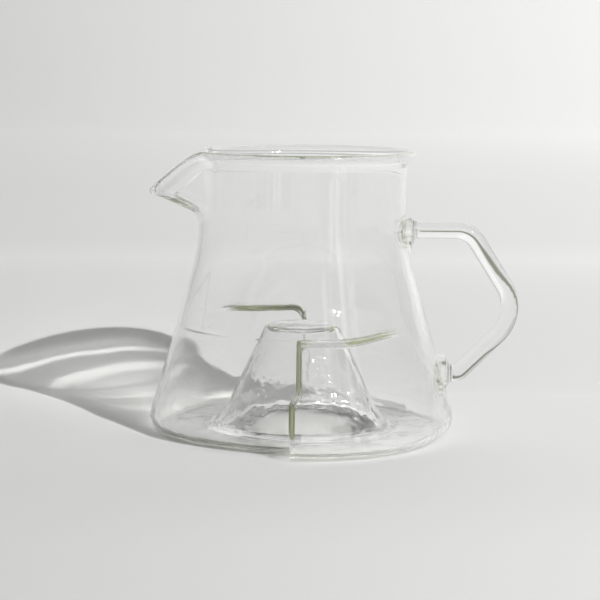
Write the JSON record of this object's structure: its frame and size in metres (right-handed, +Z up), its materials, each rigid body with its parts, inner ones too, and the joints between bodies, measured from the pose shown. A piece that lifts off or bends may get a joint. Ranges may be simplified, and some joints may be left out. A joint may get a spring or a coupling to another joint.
{
  "type": "coffee server",
  "caption": "Clear glass coffee server with a flared lip, pouring spout, bent rod handle, stepped lower wall and a hollow cone rising from its floor.",
  "frame": {"origin": "centre of the ring-shaped resting face, on the vessel's axis, at table height", "axes": "+Z up out of the mouth, +X from the vessel's axis towards the handle, -X towards the spout, -Y towards the front step"},
  "size_m": [0.1468, 0.128, 0.112],
  "materials": {
    "vessel_glass": "gloss",
    "rod_glass": "gloss"
  },
  "bodies": {
    "root": {"lip_ring": "vessel_glass", "pouring_spout": "vessel_glass", "neck_wall": "vessel_glass", "body_wall": "vessel_glass", "stepped_base": "vessel_glass", "base_floor": "vessel_glass", "centre_cone": "vessel_glass", "handle_rod": "rod_glass", "upper_handle_pad": "rod_glass", "lower_handle_pad": "rod_glass"}
  },
  "joints": []
}
